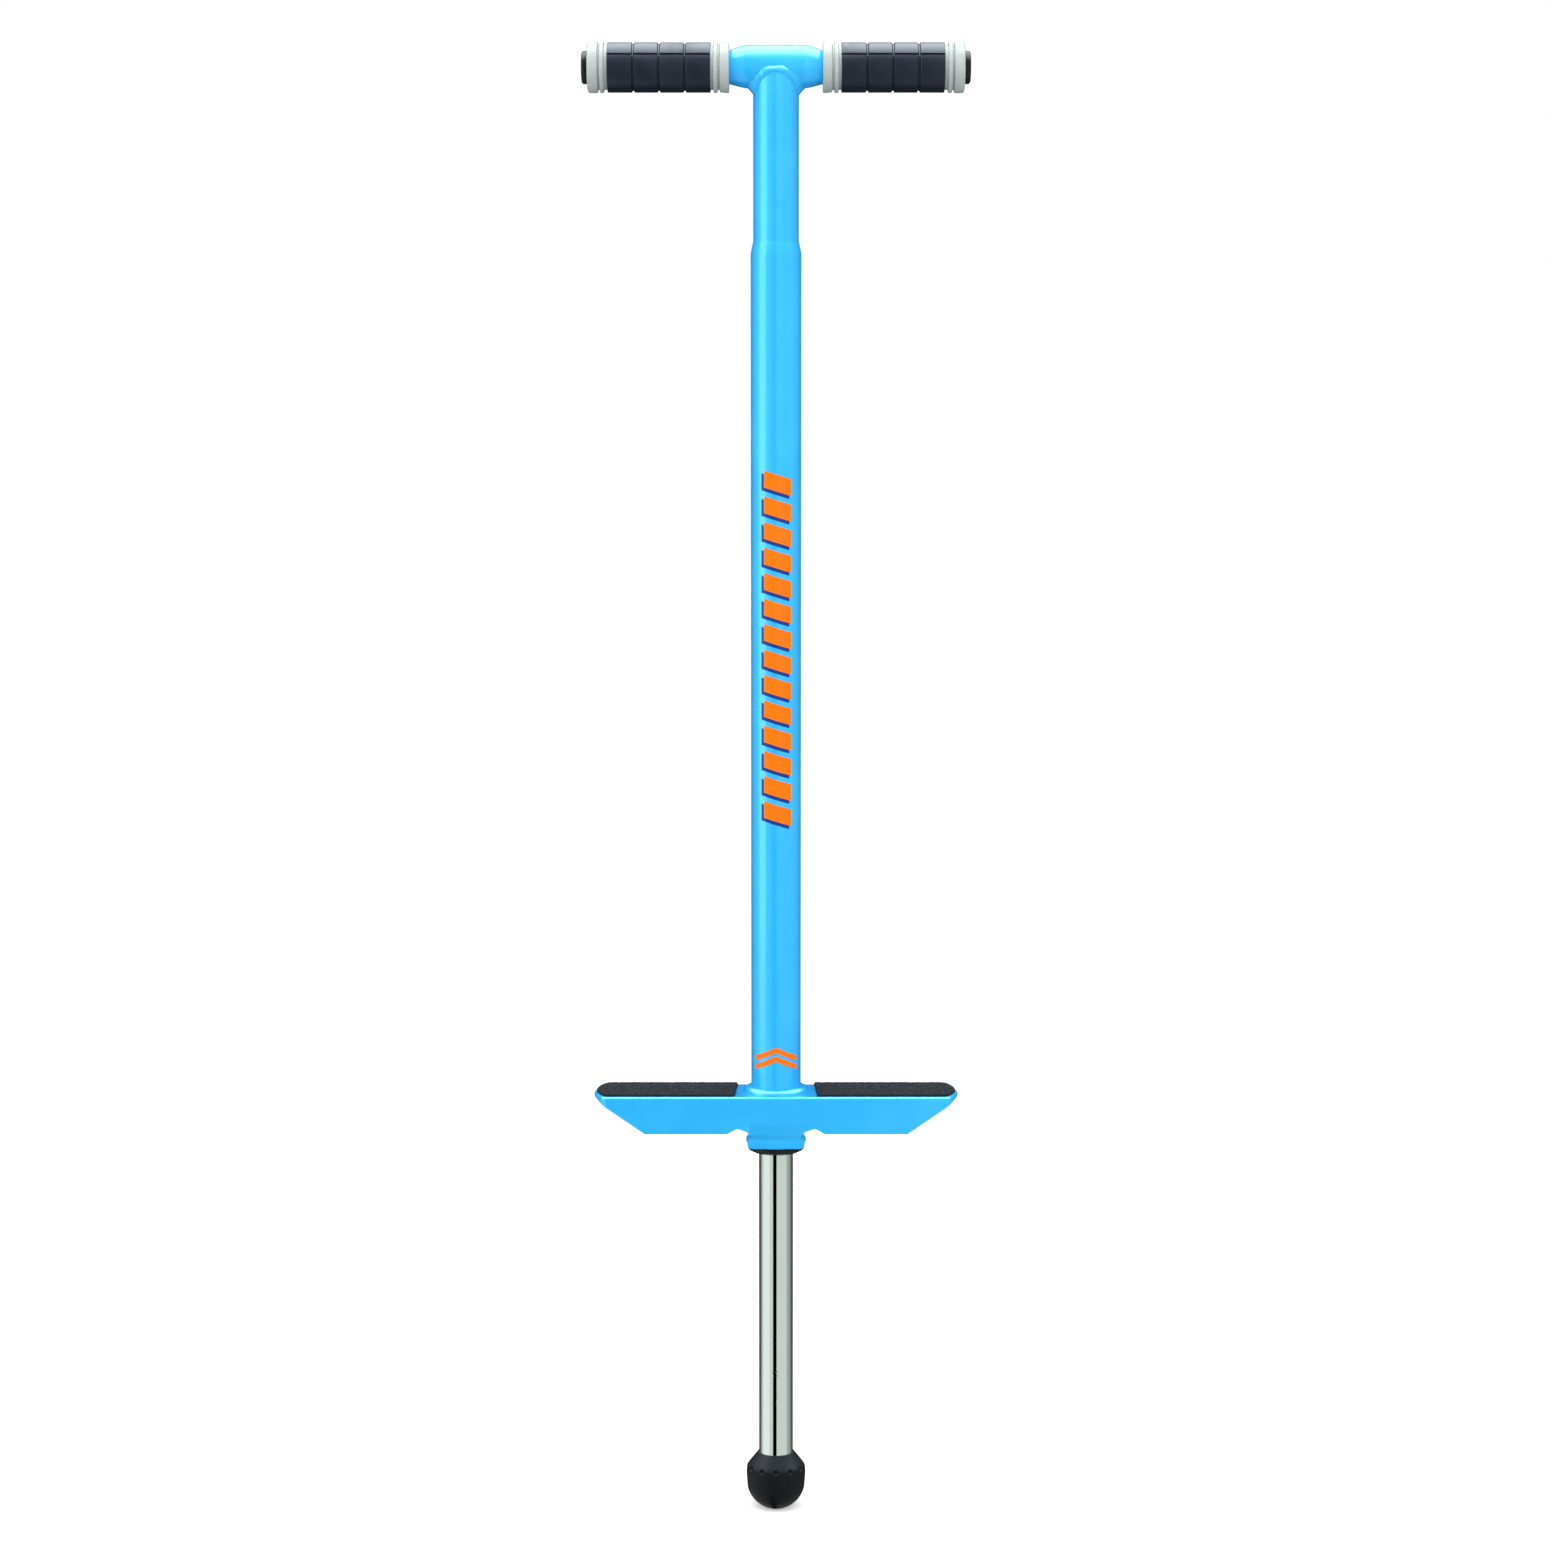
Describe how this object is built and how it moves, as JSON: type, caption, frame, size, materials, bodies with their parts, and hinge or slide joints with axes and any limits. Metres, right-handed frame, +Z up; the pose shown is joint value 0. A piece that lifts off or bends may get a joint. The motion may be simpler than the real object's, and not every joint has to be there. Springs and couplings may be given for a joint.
{
  "type": "pogo stick",
  "caption": "Child's pogo stick: painted steel T frame with rubber grips and a foot bracket, and a sprung chrome plunger on a round rubber tip",
  "frame": {"origin": "on the floor under the middle of the rubber tip, with the stick upright", "axes": "+Z up along the stick, +X along the handlebar, -Y towards the side with the printed bars"},
  "size_m": [0.2426, 0.0436, 0.9402],
  "materials": {
    "frame_paint": "glossy azure powder coat on steel",
    "grip_pale": "pale grey soft moulding, satin",
    "grip_dark": "near-black rubber, soft sheen",
    "black_plastic": "black moulded plastic, satin",
    "pad_rubber": "coarse textured charcoal rubber",
    "chrome_tube": "polished chrome plate on steel tube",
    "bare_steel": "turned steel, lightly oiled",
    "spring_steel": "dark oiled spring steel",
    "bumper_rubber": "black rubber",
    "tip_rubber": "black rubber, satin",
    "film_orange": "glossy orange film",
    "film_navy": "glossy navy film"
  },
  "bodies": {
    "frame": {"main_tube": "frame_paint", "stem_tube": "frame_paint", "handlebar": "frame_paint", "stem_weld": "frame_paint", "neck_weld": "frame_paint", "foot_bracket": "frame_paint", "lower_collar": "frame_paint", "bracket_weld": "frame_paint", "left_grip_core": "grip_pale", "right_grip_core": "grip_pale", "left_grip_sleeve": "grip_dark", "right_grip_sleeve": "grip_dark", "left_end_plug": "black_plastic", "right_end_plug": "black_plastic", "lower_bushing": "black_plastic", "left_foot_pad": "pad_rubber", "right_foot_pad": "pad_rubber", "upper_spring_stop": "bare_steel", "rebound_bumper": "bumper_rubber", "graphic_bars": "film_orange", "small_mark": "film_orange", "graphic_shadow": "film_navy"},
    "spring_carrier": {"spring_seat": "bare_steel", "main_spring": "spring_steel"},
    "plunger": {"plunger_shaft": "chrome_tube", "plunger_head": "bare_steel", "thrust_washer": "bare_steel", "tip_insert": "bare_steel", "rubber_tip": "tip_rubber"}
  },
  "joints": [
    {"name": "plunger_slide", "type": "slide", "parent": "frame", "child": "spring_carrier", "axis": [0, 0, 1], "range_m": [0, 0.12], "stiffness_N_per_m": 6600, "springref_m": -0.015, "deforming": ["main_spring"]},
    {"name": "plunger_spin", "type": "hinge", "parent": "spring_carrier", "child": "plunger", "pos_m": [0, 0, 0.3], "axis": [0, 0, 1], "continuous": true}
  ]
}
